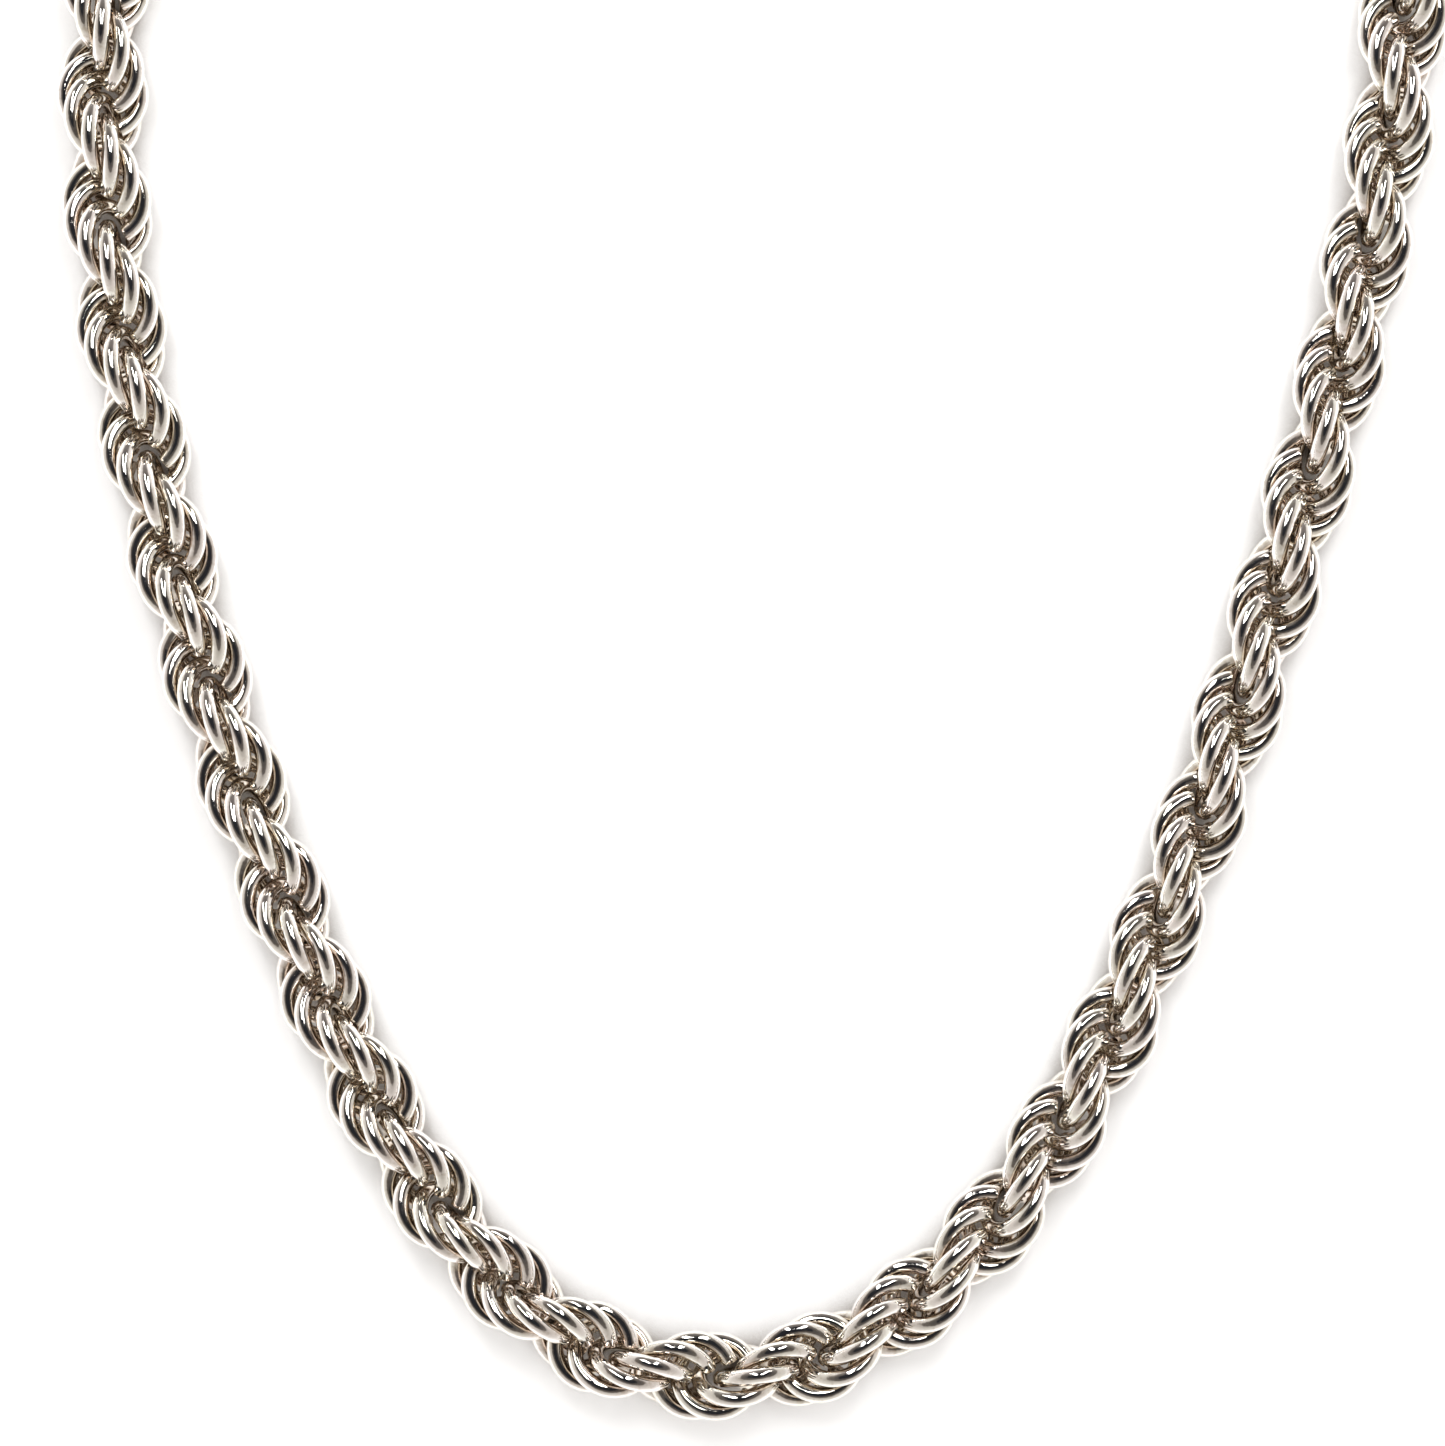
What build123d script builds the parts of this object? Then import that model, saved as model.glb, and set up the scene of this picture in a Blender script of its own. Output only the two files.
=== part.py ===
"""Rope-chain necklace with a swivel lobster clasp, laid flat and unhooked.

Small round wire links are threaded through each other and turned a little further each time, so that
their two sides lie in two strands with a left-hand twist. Millimetres, +Z up. The necklace lies on
the plane Z = 0, its front towards -Y and its clasp towards +Y, with the origin under the middle of
its outer box.
"""

import os
from math import asin, copysign, cos, radians, sin

from build123d import *

os.makedirs("parts", exist_ok=True)

# --- Chain: driving dimensions -------------------------------------------------------------------
CHAIN_DIAMETER = 8.0
LINK_WIRE = 1.44  # diameter of the drawn wire
LINK_RADIUS = (CHAIN_DIAMETER - LINK_WIRE) / 2  # to the middle of the wire
LINK_STEP = 1.85  # advance along the chain from one link to the next
SIDE_TWIST = 32.4  # degrees from one link to the next, left-hand
FRONT_TWIST = 34.0  # the same round the front, where the rope is wound tighter
FRONT_LINKS = 34  # links on each side of the front that have the tighter twist
START_TWIST = 24.0  # twist of the front link
SAW_GAP = 52.0  # angle left open in each link, a little over one wire wide

LINKS_PER_SEGMENT = 11
LINKS_PER_END_SEGMENT = 6
SEGMENTS_PER_SIDE = 10
LINKS_PER_SIDE = (SEGMENTS_PER_SIDE - 1) * LINKS_PER_SEGMENT + LINKS_PER_END_SEGMENT
LAST_LINK = LINKS_PER_SIDE + (LINKS_PER_SEGMENT - 1) // 2  # links are numbered from the front, 0

# The chain's line on each side of its front point, as tangent arcs: (length, turn in degrees).
FRONT = (-3.18, -94.87)
RIGHT_FRONT = [(14, 31.6), (16, 21.2), (20, 12.9), (24, 5.4), (30, 3.6), (28, 6.0)]
LEFT_FRONT = [(14, 34.1), (16, 22.3), (20, 10.2), (24, 5.0), (30, 6.2), (36, 16.1)]
RIGHT_BACK_TURN = 50.0
LEFT_BACK_TURN = 48.0
END_RUN = 12.0  # straight, into the end cap
HALF_LENGTH = LAST_LINK * LINK_STEP

# --- End caps and eyes ---------------------------------------------------------------------------
CAP_RADIUS = 4.5
CAP_BORE = 4.14
CAP_DEPTH = 3.0  # how far the cup reaches back over the last link
CAP_SHOULDER = 2.6
CAP_LENGTH = 6.0
CAP_TIP = 1.6
CUP_FLOOR = 4.2  # the cup tapers from the shoulder to a flat floor this far along
CUP_FLOOR_RADIUS = 2.44
EYE_RADIUS = 1.9
EYE_WIRE = 1.1
EYE_SEAT = 0.2  # flat filed on the eye where it is soldered to the cap

# --- Rings ---------------------------------------------------------------------------------------
RING_PLAY = 0.12  # free space between two threaded wires
JUMP_RADIUS = 2.9
JUMP_WIRE = 1.2
CATCH_RADIUS = 3.4
CATCH_WIRE = 1.3

# --- Lobster clasp: x runs from the swivel to the hook, y across ---------------------------------
CLASP_THICKNESS = 4.0
CLASP_HEIGHT = 2.25  # middle of the clasp above the surface
SWIVEL_RADIUS = 1.65
SWIVEL_WIRE = 1.1
SWIVEL_STEM = 0.7
SWIVEL_HEAD = 1.15
SWIVEL_PLAY = 0.12
TAIL_GAP = 0.25  # between the swivel's eye and the clasp's tail
TAIL_WALL = 1.3
TAIL_RADIUS = 2.1
HOOK_RADIUS = 4.1
HOOK_CENTRE = 10.1
HOOK_WALL = 1.75
OPENING_RADIUS = HOOK_RADIUS - HOOK_WALL
OPENING_RUN = 3.0  # from the opening's wide end to its narrow one
OPENING_END = 1.4
OPENING_SHIFT = 0.4
CLASP_EDGE = 0.7
PIVOT = (5.4, -1.6)
PIVOT_RADIUS = 0.55
RIVET_PROUD = 0.12  # how far each head stands above the cheek
RIVET_DOME = 0.3
GATE_START = 1.2  # from the pivot to the end of the cheeks
GATE_TOP = -0.7
POCKET_BACK = 2.1  # spring pocket, from the pivot towards the tail
POCKET_TOP = 0.6
POCKET_LENGTH = 3.4
SPRING_BOW = ((-1.72, 1.95), (-1.5, 0.3), (-1.75, -1.0))  # about the pivot
SPRING_WIDTH = 1.4
SPRING_THICKNESS = 0.2
TAB = ((1.0, -1.3, 0.6), (1.45, -2.02, 0.5))  # thumb tab: two circles, x and y from the pivot and radius
HUB_RADIUS = 1.35
LEVER_THICKNESS = 1.8
LEVER_REACH = 6.0  # from the pivot to the lever's tip
LEVER_PLAY = 0.12
LEVER_SWING = 22.0

# --- Rest turns of the free pieces, in the plane of the necklace ---------------------------------
JUMP_TURN = 12.0
CLASP_TURN = 14.0
CATCH_TURN = -12.0

AXIS_HEIGHT = CHAIN_DIAMETER / 2
CAP_HEIGHT = CAP_RADIUS
RISE_RUN = 24.0  # the chain climbs over this length to the middle of the thicker cap


# --- Line of the chain ---------------------------------------------------------------------------
def half_line(front_arcs, back_turn):
    """One side's line from the front point to the middle of its last link."""
    back_length = HALF_LENGTH - END_RUN - sum(length for length, turn in front_arcs)
    return front_arcs + [(back_length, back_turn), (END_RUN, 0.0)]


RIGHT_LINE = half_line(RIGHT_FRONT, RIGHT_BACK_TURN)
LEFT_LINE = half_line(LEFT_FRONT, LEFT_BACK_TURN)


def along(arcs, distance):
    """Point and heading at a distance from the start of a line of tangent arcs."""
    x = y = heading = 0.0
    for length, turn in arcs:
        run = min(distance, length)
        swing = radians(turn) * run / length
        chord = 2 * run / swing * sin(swing / 2) if swing else run
        x += chord * cos(heading + swing / 2)
        y += chord * sin(heading + swing / 2)
        heading += swing
        distance -= run
    return x, y, heading


def chain_plane(number):
    """Plane at a link's middle: x along the chain, y across it, z up."""
    side = 1 if number >= 0 else -1
    distance = abs(number) * LINK_STEP
    x, y, heading = along(RIGHT_LINE if side > 0 else LEFT_LINE, distance)
    end = HALF_LENGTH - CAP_DEPTH
    climbed = min(max(distance - end + RISE_RUN, 0) / RISE_RUN, 1)
    climb = CAP_HEIGHT - AXIS_HEIGHT
    slope = side * climb / RISE_RUN if 0 < climbed < 1 else 0
    tangent = Vector(cos(side * heading), sin(side * heading), slope).normalized()
    across = Vector(-sin(side * heading), cos(side * heading), 0)
    middle = (FRONT[0] + side * x, FRONT[1] + y, AXIS_HEIGHT + climbed * climb)
    return Plane(middle, tangent, tangent.cross(across))


def turned(plane, about_x=0.0, about_z=0.0):
    """The plane turned in degrees about its own x, then about its own z."""
    return Plane(plane.location * Rotation(about_x, 0, about_z))


def link_twist(number):
    """How far a link is turned about the chain's line, in degrees; negative is left-hand."""
    tight = min(abs(number), FRONT_LINKS)
    loose = abs(number) - tight
    return -START_TWIST - copysign(FRONT_TWIST * tight + SIDE_TWIST * loose, number)


def link_place(number):
    """A link's place in the chain, twisted about the chain, with its saw gap straight ahead."""
    return turned(chain_plane(number), link_twist(number), SAW_GAP / 2)


def save(builder, name):
    builder.part.label = name
    export_step(builder.part, f"parts/{name}.step")


# --- Chain ---------------------------------------------------------------------------------------
with BuildPart() as link:
    with BuildSketch(Plane.XZ):
        with Locations((LINK_RADIUS, 0)):
            Circle(LINK_WIRE / 2)
    revolve(axis=Axis.Z, revolution_arc=360 - SAW_GAP)


def chain_segment(first, last):
    with BuildPart() as segment:
        with Locations(*[link_place(number) for number in range(first, last + 1)]):
            add(link.part)
    return segment


def segment_range(number):
    """First and last link of a segment; segment 0 is at the front, and left is negative."""
    if number < 0:
        first, last = segment_range(-number)
        return -last, -first
    half = (LINKS_PER_SEGMENT - 1) // 2
    if number == 0:
        return -half, half
    first = half + 1 + (number - 1) * LINKS_PER_SEGMENT
    return first, min(first + LINKS_PER_SEGMENT - 1, LAST_LINK)


def segment_name(number):
    if number == 0:
        return "front_chain"
    return f"{'right' if number > 0 else 'left'}_chain_{abs(number):02d}"


for number in range(-SEGMENTS_PER_SIDE, SEGMENTS_PER_SIDE + 1):
    save(chain_segment(*segment_range(number)), segment_name(number))

# --- End caps and eyes: x points out of the chain's end, z up ------------------------------------
right_end = chain_plane(LAST_LINK)
left_end = turned(chain_plane(-LAST_LINK), about_z=180)


def end_cap(end):
    section = Plane(end.origin, end.x_dir, -end.y_dir)
    with BuildPart() as cap:
        with BuildSketch(section):
            with BuildLine():
                Polyline((CAP_LENGTH, 0), (CAP_LENGTH, CAP_TIP))
                shoulder = (CAP_SHOULDER, CAP_RADIUS)
                TangentArc(shoulder, (CAP_LENGTH, CAP_TIP), tangent=(1, 0))
                Polyline(shoulder, (-CAP_DEPTH, CAP_RADIUS), (-CAP_DEPTH, CAP_BORE), (CAP_SHOULDER, CAP_BORE),
                         (CUP_FLOOR, CUP_FLOOR_RADIUS), (CUP_FLOOR, 0), (CAP_LENGTH, 0))
            make_face()
        revolve(axis=Axis(end.origin, end.x_dir))
    return cap


def torus_on(plane, radius, wire):
    """A round wire ring that lies in the plane, about its origin."""
    with BuildPart(plane) as ring:
        Torus(radius, wire / 2)
    return ring


EYE_CENTRE = CAP_LENGTH + EYE_RADIUS + EYE_WIRE / 2 - EYE_SEAT
EYE_FAR = EYE_CENTRE + EYE_RADIUS  # middle of the wire on the side away from the cap


def cap_eye(end):
    middle = end.origin + end.x_dir * EYE_CENTRE
    with BuildPart(Plane(middle, end.x_dir, end.y_dir)) as eye:
        Torus(EYE_RADIUS, EYE_WIRE / 2)
        split(bisect_by=Plane(end.origin + end.x_dir * CAP_LENGTH, end.y_dir, end.x_dir), keep=Keep.TOP)
    return eye


save(end_cap(right_end), "right_end_cap")
save(end_cap(left_end), "left_end_cap")
save(cap_eye(right_end), "right_cap_eye")
save(cap_eye(left_end), "left_cap_eye")


# --- Rings threaded on the eyes ------------------------------------------------------------------
def hanging_ring(end, turn, radius, wire, drop):
    """Pivot, outward frame and plane of a ring through a cap's eye that slopes down by drop."""
    pivot = end.origin + end.x_dir * EYE_FAR
    frame = turned(Plane(pivot, end.x_dir, end.z_dir), about_z=turn)
    slope = asin(drop / (2 * radius))
    down = frame.x_dir * cos(slope) - frame.z_dir * sin(slope)
    near = pivot - frame.x_dir * (EYE_WIRE / 2 + wire / 2 + RING_PLAY)
    return pivot, frame, Plane(near + down * radius, down, down.cross(frame.y_dir))


catch_drop = CAP_HEIGHT - CATCH_WIRE / 2
catch_pivot, catch_frame, catch_plane = hanging_ring(
    left_end, CATCH_TURN, CATCH_RADIUS, CATCH_WIRE, catch_drop
)
save(torus_on(catch_plane, CATCH_RADIUS, CATCH_WIRE), "catch_ring")

jump_drop = CAP_HEIGHT - CLASP_HEIGHT
jump_pivot, jump_frame, jump_plane = hanging_ring(
    right_end, JUMP_TURN, JUMP_RADIUS, JUMP_WIRE, jump_drop
)
save(torus_on(jump_plane, JUMP_RADIUS, JUMP_WIRE), "jump_ring")

# --- Swivel: its eye hangs on the far side of the jump ring --------------------------------------
far_wire = jump_plane.origin + jump_plane.x_dir * JUMP_RADIUS
swivel_near = SWIVEL_WIRE / 2 + JUMP_WIRE / 2 + RING_PLAY
clasp_pivot = far_wire - jump_frame.x_dir * swivel_near
clasp_frame = turned(Plane(clasp_pivot, jump_frame.x_dir, jump_frame.z_dir), about_z=CLASP_TURN)
swivel_centre = clasp_pivot + clasp_frame.x_dir * SWIVEL_RADIUS
tail = Plane(
    swivel_centre + clasp_frame.x_dir * (SWIVEL_RADIUS + SWIVEL_WIRE / 2 + TAIL_GAP),
    clasp_frame.x_dir,
    clasp_frame.z_dir,
)
across_tail = Plane(tail.origin, tail.y_dir, tail.x_dir)

with BuildPart(Plane(swivel_centre, clasp_frame.x_dir, clasp_frame.y_dir)) as swivel:
    Torus(SWIVEL_RADIUS, SWIVEL_WIRE / 2)
    with BuildSketch(across_tail.offset(-TAIL_GAP - SWIVEL_WIRE / 2)):
        Circle(SWIVEL_STEM)
    extrude(amount=SWIVEL_WIRE / 2 + TAIL_GAP + TAIL_WALL + SWIVEL_PLAY)
    with BuildSketch(across_tail.offset(TAIL_WALL + SWIVEL_PLAY)):
        Circle(SWIVEL_HEAD)
    extrude(amount=SWIVEL_HEAD - SWIVEL_PLAY)
save(swivel, "clasp_swivel")

# --- Clasp: x runs from the tail to the hook, y across, z up -------------------------------------
def claw_outline():
    """The closed claw seen from above: a hull from tail to hook with the opening cut out."""
    with BuildSketch() as outline:
        with Locations((TAIL_RADIUS, 0)):
            Circle(TAIL_RADIUS)
        with Locations((HOOK_CENTRE, 0)):
            Circle(HOOK_RADIUS)
        make_hull()
        with BuildSketch(mode=Mode.SUBTRACT):
            with Locations((HOOK_CENTRE, 0)):
                Circle(OPENING_RADIUS)
            with Locations((HOOK_CENTRE - OPENING_RUN, OPENING_SHIFT)):
                Circle(OPENING_END)
            make_hull()
    return outline


def gate_zone(reach, start):
    """Where the lever closes the claw: within reach of the pivot, past start, on its side."""
    with BuildSketch() as zone:
        with Locations(PIVOT):
            Circle(reach)
        with Locations((start, GATE_TOP)):
            Rectangle(2 * reach, 2 * reach, align=(Align.MIN, Align.MAX), mode=Mode.INTERSECT)
    return zone


with BuildPart(tail) as clasp_body:
    with BuildSketch(tail.offset(-CLASP_THICKNESS / 2)):
        add(claw_outline().sketch)
    extrude(amount=CLASP_THICKNESS)
    flats = clasp_body.faces().sort_by(Axis(tail.origin, tail.z_dir))
    fillet(flats[0].edges() + flats[-1].edges(), CLASP_EDGE)
    with BuildSketch(tail.offset(-CLASP_THICKNESS)):
        add(gate_zone(LEVER_REACH, PIVOT[0] + GATE_START).sketch)
    extrude(amount=2 * CLASP_THICKNESS, mode=Mode.SUBTRACT)
    slot = LEVER_THICKNESS / 2 + LEVER_PLAY
    with BuildSketch(tail.offset(-slot)):
        with Locations(PIVOT):
            Circle(HUB_RADIUS + LEVER_PLAY)
            Rectangle(HUB_RADIUS + GATE_START, 2 * HUB_RADIUS + 2 * LEVER_PLAY, align=(Align.MIN, Align.CENTER))
            Rectangle(HUB_RADIUS + GATE_START, HOOK_RADIUS, align=(Align.MIN, Align.MAX))
        with Locations((PIVOT[0] - POCKET_BACK, POCKET_TOP)):
            Rectangle(POCKET_BACK, POCKET_LENGTH, align=(Align.MIN, Align.MAX))
    extrude(amount=2 * slot, mode=Mode.SUBTRACT)
    with BuildSketch(tail.offset(-CLASP_THICKNESS)):
        with Locations(PIVOT):
            Circle(PIVOT_RADIUS)
    extrude(amount=2 * CLASP_THICKNESS, mode=Mode.SUBTRACT)
    with BuildSketch(across_tail):
        Circle(SWIVEL_STEM + SWIVEL_PLAY)
    extrude(amount=TAIL_WALL, mode=Mode.SUBTRACT)
    with BuildSketch(across_tail.offset(TAIL_WALL)):
        Circle(SWIVEL_HEAD + SWIVEL_PLAY)
    extrude(amount=SWIVEL_HEAD + SWIVEL_PLAY, mode=Mode.SUBTRACT)
save(clasp_body, "clasp_body")

with BuildPart(tail) as trigger:
    with BuildSketch(tail.offset(-LEVER_THICKNESS / 2)):
        add(claw_outline().sketch)
        add(gate_zone(LEVER_REACH - LEVER_PLAY, PIVOT[0]).sketch, mode=Mode.INTERSECT)
        with Locations(PIVOT):
            Circle(HUB_RADIUS)
        with BuildSketch(mode=Mode.ADD):
            for x, y, radius in TAB:
                with Locations((PIVOT[0] + x, PIVOT[1] + y)):
                    Circle(radius)
            make_hull()
        with Locations(PIVOT):
            Circle(PIVOT_RADIUS + LEVER_PLAY, mode=Mode.SUBTRACT)
    extrude(amount=LEVER_THICKNESS)
save(trigger, "trigger_lever")

with BuildPart() as rivet:
    with BuildSketch(tail.offset(-CLASP_THICKNESS / 2 - RIVET_PROUD)):
        with Locations(PIVOT):
            Circle(PIVOT_RADIUS)
    extrude(amount=CLASP_THICKNESS + 2 * RIVET_PROUD)
    fillet(rivet.edges().filter_by(GeomType.CIRCLE), RIVET_DOME)
save(rivet, "trigger_rivet")

with BuildPart() as spring:
    with BuildSketch(tail.offset(-SPRING_WIDTH / 2)):
        with BuildLine() as leaf:
            ThreePointArc(*[(PIVOT[0] + x, PIVOT[1] + y) for x, y in SPRING_BOW])
            offset(amount=SPRING_THICKNESS / 2)
        make_face()
    extrude(amount=SPRING_WIDTH)
save(spring, "trigger_spring")
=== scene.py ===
"""Looks of the rope-chain necklace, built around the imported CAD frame."""

from math import cos, radians, sin

import bpy
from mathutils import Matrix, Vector


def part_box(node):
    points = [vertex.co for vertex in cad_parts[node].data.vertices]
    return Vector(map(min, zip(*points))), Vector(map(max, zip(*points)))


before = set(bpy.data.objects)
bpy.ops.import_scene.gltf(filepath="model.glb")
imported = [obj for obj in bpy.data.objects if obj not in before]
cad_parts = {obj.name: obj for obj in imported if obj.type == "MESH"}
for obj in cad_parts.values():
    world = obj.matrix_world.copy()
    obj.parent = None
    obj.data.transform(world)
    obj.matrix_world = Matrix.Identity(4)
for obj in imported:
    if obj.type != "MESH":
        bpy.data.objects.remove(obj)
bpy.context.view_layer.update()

MM = 0.001

# --- View: straight down on the front of the chain, sizes in metres ------------------------------
VIEW_WIDTH = 125.7 * MM
CAMERA_HEIGHT = 0.50
SENSOR = 36.0
FRONT_MARGIN = 2.2 * MM  # floor that shows in front of the chain
CENTRE_SHIFT = 0.56 * MM  # the front of the chain is left of the view's centre
AXIS_HEIGHT = 4 * MM  # middle of the chain above the floor

# --- Studio: sizes in metres, powers in watts ----------------------------------------------------
LAMP_DISTANCE = 0.60
LAMP_LEAN = 35.0  # degrees from straight up, towards the back
LAMP_SPREAD = 14.0  # degrees to each side
LAMP_WIDTH = 0.085
LAMP_HEIGHT = 0.42
LAMP_POWER = 1.0
CEILING_SIZE = 2.4
CEILING_HEIGHT = 0.8
CEILING_POWER = 19.5
FLOOR_SIZE = 8.0

# The room: colour by how high the direction points, from level (0) to straight up (1).
ROOM_TONES = (
    (0.00, (1.0, 0.98, 0.955)),
    (0.40, (0.70, 0.655, 0.615)),
    (0.80, (0.45, 0.415, 0.38)),
)
# A hood overhead darkens it: colour by distance from the hood's middle.
HOOD_TONES = (
    (0.22, (0.045, 0.05, 0.065)),
    (0.27, (0.20, 0.195, 0.20)),
    (0.375, (0.30, 0.285, 0.28)),
    (0.41, (1, 1, 1)),
)
HOOD_SCALE = (0.54, 0.47, 0)  # smaller is longer, side to side and front to back
HOOD_SHIFT = (0, -0.09, 0)  # its middle is towards the back

# The floor: pale, colour by how open it is to the sky, with a painted shadow in brown only under and
# inside the chain.
FLOOR_SHADOW_TONES = (
    (0.15, (0.06, 0.045, 0.03)),
    (0.42, (0.48, 0.45, 0.42)),
    (0.56, (0.93, 0.93, 0.93)),
)
FLOOR_SHADOW_REACH = 5 * MM
FLOOR_ROUGHNESS = 0.9
FLOOR_SPECULAR = 0.1

# --- Metal: noise in features per millimetre, with its detail ------------------------------------
DENT_NOISE = (0.9, 2)
STAIN_NOISE = (2.0, 4)
SCRATCH_NOISE = (4.5, 4)
WARMTH_NOISE = (0.3, 1)
# How far other wires reach to darken the metal: tarnish and painted shade in the hollows.
SHADE_AND_TARNISH_REACH = 1.6 * MM
STAIN_SPAN = (0.34, 0.64)  # noise values that are fully stained and fully clean
STAIN_LIFT = 0.4  # clean places brighten by this much of the grime
POLISH_SPAN = (0.62, 0.38)  # noise values that are fully polished and fully dull
TINTS = ((0.38, (1.0, 0.965, 0.95)), (0.62, (0.98, 0.98, 0.92)))
TINT_STRENGTH = 0.8
RIM_WIDTH = 0.22 * MM
RIM_SEGMENTS = 3
RIM_ANGLE = 50.0  # edges sharper than this, in degrees, are saw-cut rims
WELD_GAP = 0.001 * MM


# --- Node helpers --------------------------------------------------------------------------------
def link_nodes(tree, *pairs):
    for source, target in pairs:
        tree.links.new(source, target)


def ramp_node(tree, tones):
    """A colour ramp through (position, colour) stops."""
    ramp = tree.nodes.new("ShaderNodeValToRGB")
    ramp.color_ramp.interpolation = "EASE"
    points = ramp.color_ramp.elements
    while len(points) < len(tones):
        points.new(0.5)
    for point, (position, colour) in zip(points, tones):
        point.position = position
        point.color = (*colour, 1)
    return ramp


def tint_node(tree, colour, by, strength):
    """One colour multiplied by another."""
    mix = tree.nodes.new("ShaderNodeMix")
    mix.data_type = "RGBA"
    mix.blend_type = "MULTIPLY"
    mix.inputs["Factor"].default_value = strength
    link_nodes(tree, (colour, mix.inputs["A"]), (by, mix.inputs["B"]))
    return mix.outputs["Result"]


def open_node(tree, reach, samples):
    """How open the surface is, from 0 where others crowd it within reach to 1."""
    crowd = tree.nodes.new("ShaderNodeAmbientOcclusion")
    crowd.samples = samples
    crowd.inputs["Distance"].default_value = reach
    return crowd.outputs["AO"]


def noise_node(tree, place, scale, detail):
    noise = tree.nodes.new("ShaderNodeTexNoise")
    noise.inputs["Scale"].default_value = scale / MM
    noise.inputs["Detail"].default_value = detail
    tree.links.new(place, noise.inputs["Vector"])
    return noise.outputs["Fac"]


def range_node(tree, value, low, high, to_low, to_high):
    """The value stretched from low..high to to_low..to_high."""
    stretch = tree.nodes.new("ShaderNodeMapRange")
    for name, number in zip(("From Min", "From Max", "To Min", "To Max"), (low, high, to_low, to_high)):
        stretch.inputs[name].default_value = number
    tree.links.new(value, stretch.inputs["Value"])
    return stretch.outputs["Result"]


def bump_node(tree, height, depth, under=None):
    bump = tree.nodes.new("ShaderNodeBump")
    bump.inputs["Strength"].default_value = 1.0
    bump.inputs["Distance"].default_value = depth
    tree.links.new(height, bump.inputs["Height"])
    if under:
        tree.links.new(under, bump.inputs["Normal"])
    return bump.outputs["Normal"]


# --- Camera and studio ---------------------------------------------------------------------------
def view_centre():
    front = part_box("front_chain")
    middle = (front[0][0] + front[1][0]) / 2
    return Vector((middle + CENTRE_SHIFT, front[0][1] - FRONT_MARGIN + VIEW_WIDTH / 2, AXIS_HEIGHT))


def make_camera():
    data = bpy.data.cameras.new("camera")
    data.sensor_width = SENSOR
    data.lens = SENSOR * CAMERA_HEIGHT / VIEW_WIDTH
    camera = bpy.data.objects.new("camera", data)
    camera.location = VIEW_CENTRE + Vector((0, 0, CAMERA_HEIGHT))
    bpy.context.collection.objects.link(camera)
    bpy.context.scene.camera = camera


def soft_box(name, side):
    """A tall lamp behind the view's centre, to one side; its mirror image is a white spot on each wire."""
    data = bpy.data.lights.new(name, "AREA")
    data.shape = "RECTANGLE"
    data.size = LAMP_WIDTH
    data.size_y = LAMP_HEIGHT
    data.energy = LAMP_POWER
    light = bpy.data.objects.new(name, data)
    lean, turn = radians(LAMP_LEAN), radians(LAMP_SPREAD) * side
    way = Vector((sin(turn), sin(lean) * cos(turn), cos(lean) * cos(turn)))
    light.location = VIEW_CENTRE + LAMP_DISTANCE * way
    light.rotation_euler = way.to_track_quat("Z", "Y").to_euler()
    bpy.context.collection.objects.link(light)


def ceiling_light():
    """Soft light from above for the floor, which the polished metal doesn't mirror."""
    data = bpy.data.lights.new("ceiling", "AREA")
    data.shape = "SQUARE"
    data.size = CEILING_SIZE
    data.energy = CEILING_POWER
    light = bpy.data.objects.new("ceiling", data)
    light.location = VIEW_CENTRE + Vector((0, 0, CEILING_HEIGHT))
    light.visible_glossy = False
    bpy.context.collection.objects.link(light)


def make_world():
    """A pale room, whitest at eye level, with a dark hood overhead."""
    world = bpy.data.worlds.new("studio")
    world.use_nodes = True
    tree = world.node_tree
    nodes = tree.nodes
    way = nodes.new("ShaderNodeTexCoord").outputs["Generated"]
    split = nodes.new("ShaderNodeSeparateXYZ")
    hood = nodes.new("ShaderNodeMapping")
    hood.inputs["Location"].default_value = HOOD_SHIFT
    hood.inputs["Scale"].default_value = HOOD_SCALE
    span = nodes.new("ShaderNodeVectorMath")
    span.operation = "LENGTH"
    hood_tone = ramp_node(tree, HOOD_TONES)
    room_tone = ramp_node(tree, ROOM_TONES)
    tone = tint_node(tree, hood_tone.outputs["Color"], room_tone.outputs["Color"], 1.0)
    link_nodes(
        tree,
        (way, hood.inputs["Vector"]),
        (hood.outputs["Vector"], span.inputs[0]),
        (span.outputs["Value"], hood_tone.inputs["Fac"]),
        (way, split.inputs["Vector"]),
        (split.outputs["Z"], room_tone.inputs["Fac"]),
        (tone, nodes["Background"].inputs["Color"]),
    )
    bpy.context.scene.world = world


def make_floor():
    bpy.ops.mesh.primitive_plane_add(size=FLOOR_SIZE, location=(0, 0, 0))
    floor = bpy.context.object
    floor.name = "floor"
    material = bpy.data.materials.new("floor")
    material.use_nodes = True
    tree = material.node_tree
    shader = tree.nodes["Principled BSDF"]
    shader.inputs["Roughness"].default_value = FLOOR_ROUGHNESS
    shader.inputs["Specular IOR Level"].default_value = FLOOR_SPECULAR
    # Painted shadow: the floor's colour turns brown where the chain crowds it.
    tone = ramp_node(tree, FLOOR_SHADOW_TONES)
    link_nodes(
        tree,
        (open_node(tree, FLOOR_SHADOW_REACH, samples=8), tone.inputs["Fac"]),
        (tone.outputs["Color"], shader.inputs["Base Color"]),
    )
    floor.data.materials.append(material)


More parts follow.
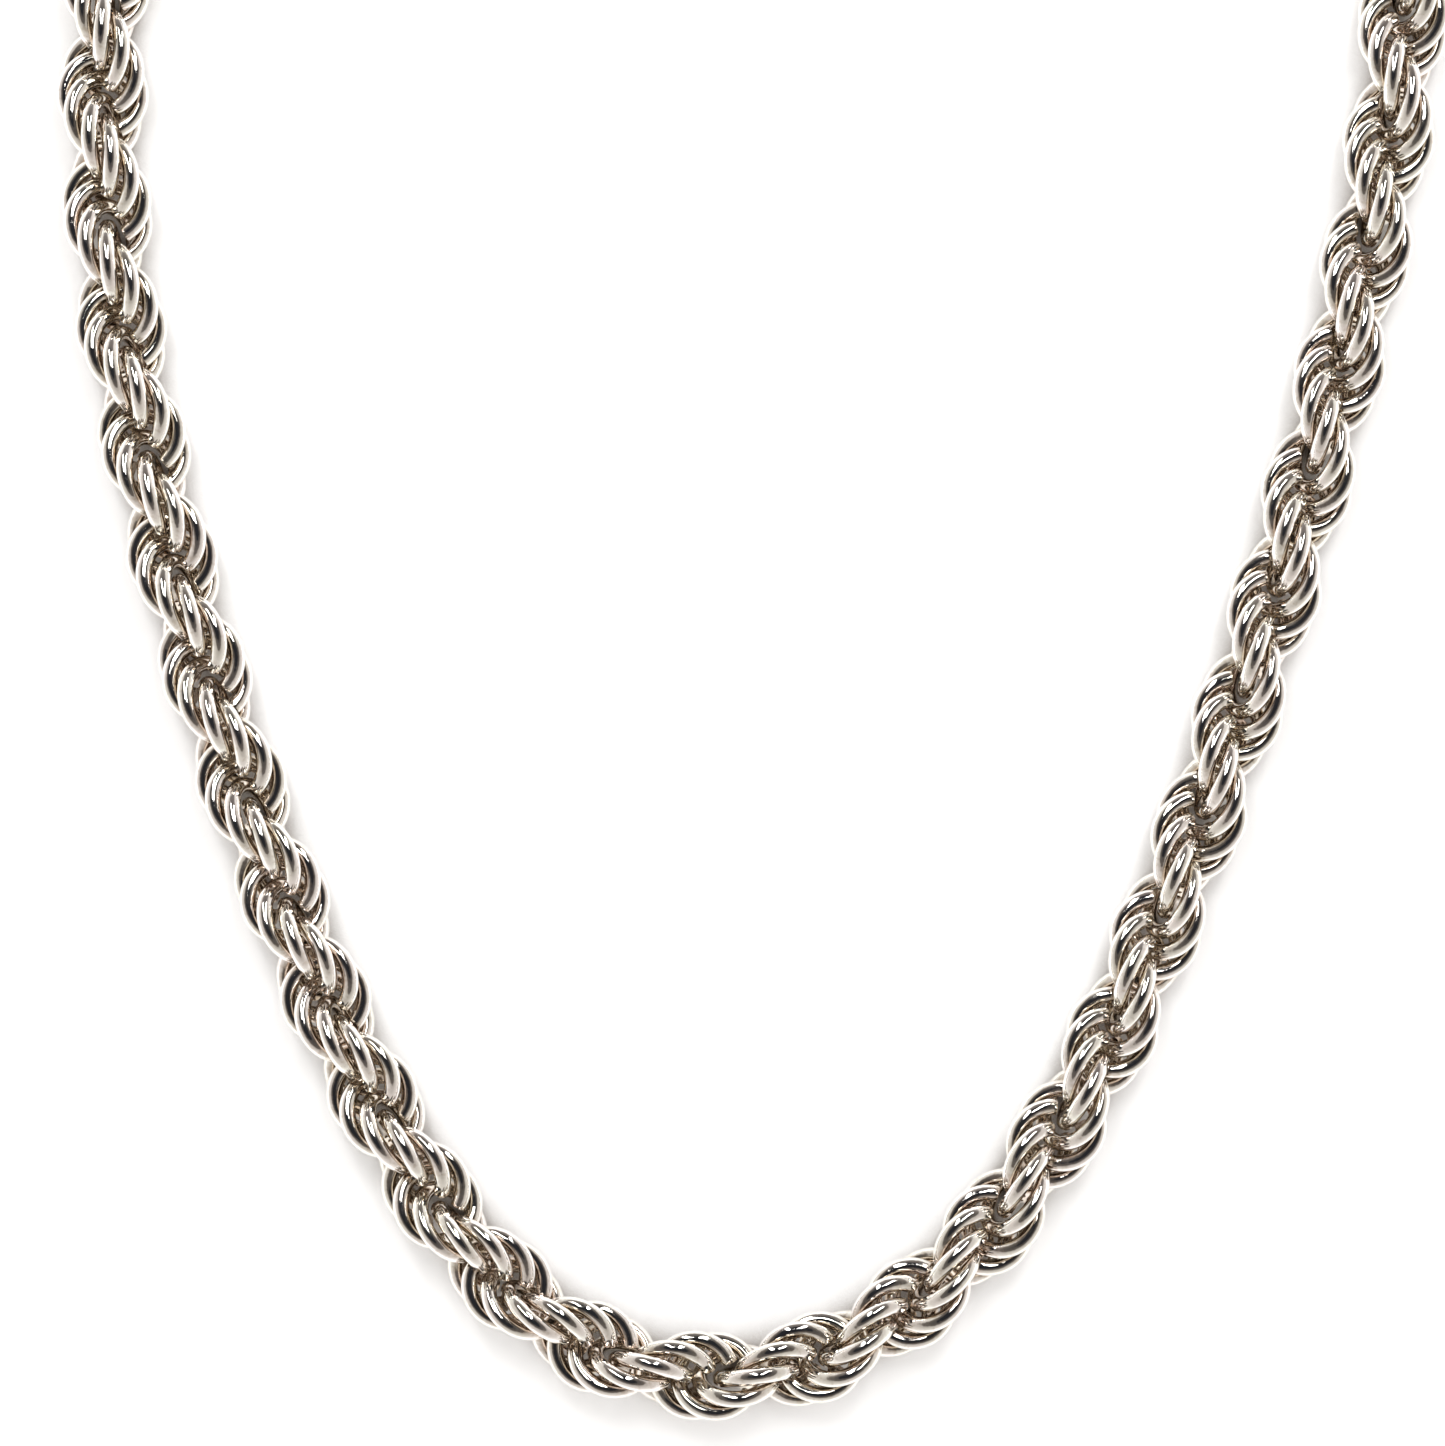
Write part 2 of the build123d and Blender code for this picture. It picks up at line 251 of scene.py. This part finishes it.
# --- Metal ---------------------------------------------------------------------------------------
def metal(name, tones, grime, polish, dents, scratches):
    """Worn polished metal, its hollows darkened by tarnish and by painted shade.

    tones are its colours from crowded to open, the crowded ones tarnish and painted shade, grime how
    far stains shift them, polish its lowest and highest roughness, and dents and scratches their depths.
    """
    material = bpy.data.materials.new(name)
    material.use_nodes = True
    tree = material.node_tree
    nodes = tree.nodes
    shader = nodes["Principled BSDF"]
    shader.inputs["Metallic"].default_value = 1.0
    place = nodes.new("ShaderNodeTexCoord").outputs["Object"]
    stain = noise_node(tree, place, *STAIN_NOISE)
    stained = nodes.new("ShaderNodeMath")
    stained.operation = "ADD"
    tone = ramp_node(tree, tones)
    tint = ramp_node(tree, TINTS)
    colour = tint_node(tree, tone.outputs["Color"], tint.outputs["Color"], TINT_STRENGTH)
    dented = bump_node(tree, noise_node(tree, place, *DENT_NOISE), dents)
    scratched = bump_node(tree, noise_node(tree, place, *SCRATCH_NOISE), scratches, under=dented)
    # The base colour darkens where other wires crowd the surface: tarnish in the hollows and painted
    # shade.
    link_nodes(
        tree,
        (open_node(tree, SHADE_AND_TARNISH_REACH, samples=6), stained.inputs[0]),
        (range_node(tree, stain, *STAIN_SPAN, -grime, STAIN_LIFT * grime), stained.inputs[1]),
        (stained.outputs["Value"], tone.inputs["Fac"]),
        (noise_node(tree, place, *WARMTH_NOISE), tint.inputs["Fac"]),
        (colour, shader.inputs["Base Color"]),
        (range_node(tree, stain, *POLISH_SPAN, *polish), shader.inputs["Roughness"]),
        (scratched, shader.inputs["Normal"]),
    )
    return material


def round_cuts(piece):
    """Round the rims of the links' sawn ends."""
    weld = piece.modifiers.new("weld", "WELD")
    weld.merge_threshold = WELD_GAP
    rims = piece.modifiers.new("rims", "BEVEL")
    rims.width = RIM_WIDTH
    rims.segments = RIM_SEGMENTS
    rims.limit_method = "ANGLE"
    rims.angle_limit = radians(RIM_ANGLE)


VIEW_CENTRE = view_centre()
make_camera()
make_world()
make_floor()
soft_box("left_lamp", -1)
soft_box("right_lamp", 1)
ceiling_light()
bpy.context.scene.view_settings.view_transform = "Standard"

# Each metal's darkest tones are tarnish and painted shade where its surface is crowded.
chain_silver = metal(
    "chain_silver",
    tones=(
        (0.06, (0.36, 0.265, 0.185)),
        (0.36, (0.72, 0.64, 0.56)),
        (0.62, (0.78, 0.725, 0.67)),
        (0.88, (0.93, 0.91, 0.89)),
    ),
    grime=0.26,
    polish=(0.03, 0.13),
    dents=0.035 * MM,
    scratches=0.003 * MM,
)
clasp_silver = metal(
    "clasp_silver",
    tones=((0.06, (0.24, 0.16, 0.10)), (0.36, (0.66, 0.58, 0.50)), (0.80, (0.92, 0.90, 0.88))),
    grime=0.05,
    polish=(0.10, 0.14),
    dents=0.008 * MM,
    scratches=0.0003 * MM,
)
spring_steel = metal(
    "spring_steel",
    tones=((0.06, (0.06, 0.06, 0.065)), (0.80, (0.42, 0.43, 0.46))),
    grime=0.10,
    polish=(0.2, 0.36),
    dents=0.002 * MM,
    scratches=0.001 * MM,
)
for name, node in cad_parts.items():
    if "chain" in name:
        material = chain_silver
        round_cuts(node)
    elif name == "trigger_spring":
        material = spring_steel
    else:
        material = clasp_silver
    node.data.materials.clear()
    node.data.materials.append(material)
